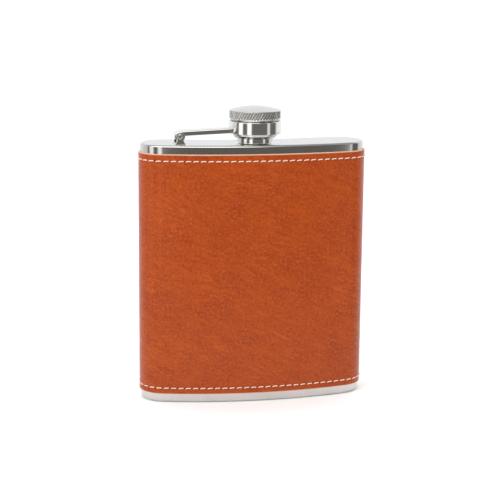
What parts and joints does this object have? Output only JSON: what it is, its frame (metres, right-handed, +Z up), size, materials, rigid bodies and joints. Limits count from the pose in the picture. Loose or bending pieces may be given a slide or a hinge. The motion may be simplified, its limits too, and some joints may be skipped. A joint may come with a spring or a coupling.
{
  "type": "hip flask",
  "caption": "Curved pocket hip flask of polished steel in a stitched tan leather wrap, with a knurled screw cap held captive on a hinged arm.",
  "frame": {"origin": "centre of the bounding box's bottom face, on the surface that the flask stands on", "axes": "+Z up along the neck, +Y towards the concave back, +X to the right seen from the convex front, so the hinge is on the -X side"},
  "size_m": [0.097, 0.0276, 0.1248],
  "materials": {
    "polished_steel": "polished stainless steel",
    "satin_steel": "satin stainless steel",
    "tan_leather": "smooth finished tan leather, fine grain",
    "cream_thread": "waxed sewing thread",
    "gasket_rubber": "translucent white silicone"
  },
  "bodies": {
    "flask_body": {"body_shell": "polished_steel", "top_plate": "polished_steel", "bottom_plate": "polished_steel", "neck_spout": "polished_steel", "hinge_lug": "polished_steel", "hinge_pin": "polished_steel", "leather_wrap": "tan_leather", "top_stitching": "cream_thread", "bottom_stitching": "cream_thread", "back_seam_stitching": "cream_thread"},
    "swing_arm": {"cap_arm": "polished_steel", "collar_ring": "polished_steel"},
    "screw_cap": {"cap_head": "satin_steel", "cap_thread_insert": "satin_steel", "retainer_ring": "polished_steel", "cap_gasket": "gasket_rubber"}
  },
  "joints": [
    {"name": "arm_swing", "type": "hinge", "parent": "flask_body", "child": "swing_arm", "pos_m": [-0.0319, -0.00223, 0.1127], "axis": [0, -1, 0], "range_deg": [0, 180]},
    {"name": "cap_spin", "type": "hinge", "parent": "swing_arm", "child": "screw_cap", "pos_m": [0, -0.00223, 0.1157], "axis": [0, 0, 1], "continuous": true}
  ]
}
